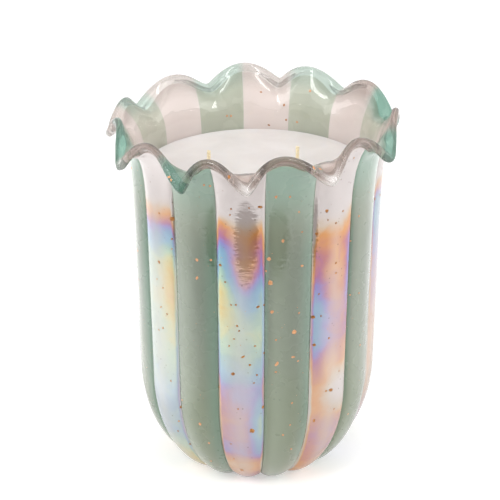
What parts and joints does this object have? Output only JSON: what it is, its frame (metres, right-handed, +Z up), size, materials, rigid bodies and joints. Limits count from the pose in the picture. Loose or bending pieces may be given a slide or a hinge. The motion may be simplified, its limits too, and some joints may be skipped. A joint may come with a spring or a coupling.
{
  "type": "glass candle vessel",
  "caption": "Tall ruffled glass vessel with alternating green and pearl ribs, filled with wax and set with wicks, to stand on a table as a decorative candle.",
  "frame": {"origin": "middle of the flat base, on the surface that the vessel stands on", "axes": "+Z up along the vessel's axis; the pictured side faces -Y"},
  "size_m": [0.1374, 0.14, 0.1823],
  "materials": {
    "clear_glass": "clear, glossy",
    "green_glass": "sage green, glossy, slightly milky",
    "pearl_glass": "pearl white, iridescent",
    "wax": "satin wax",
    "cotton": "waxed braid",
    "tin": "plain tinned sheet",
    "adhesive": "matte"
  },
  "bodies": {
    "root": {"clear_casing": "clear_glass", "green_stripe_1": "green_glass", "green_stripe_2": "green_glass", "green_stripe_3": "green_glass", "green_stripe_4": "green_glass", "green_stripe_5": "green_glass", "green_stripe_6": "green_glass", "green_stripe_7": "green_glass", "green_stripe_8": "green_glass", "pearl_stripe_1": "pearl_glass", "pearl_stripe_2": "pearl_glass", "pearl_stripe_3": "pearl_glass", "pearl_stripe_4": "pearl_glass", "pearl_stripe_5": "pearl_glass", "pearl_stripe_6": "pearl_glass", "pearl_stripe_7": "pearl_glass", "pearl_stripe_8": "pearl_glass", "wax_fill": "wax", "wick_1": "cotton", "wick_tab_1": "tin", "wick_sticker_1": "adhesive", "wick_2": "cotton", "wick_tab_2": "tin", "wick_sticker_2": "adhesive", "wick_3": "cotton", "wick_tab_3": "tin", "wick_sticker_3": "adhesive"}
  },
  "joints": []
}
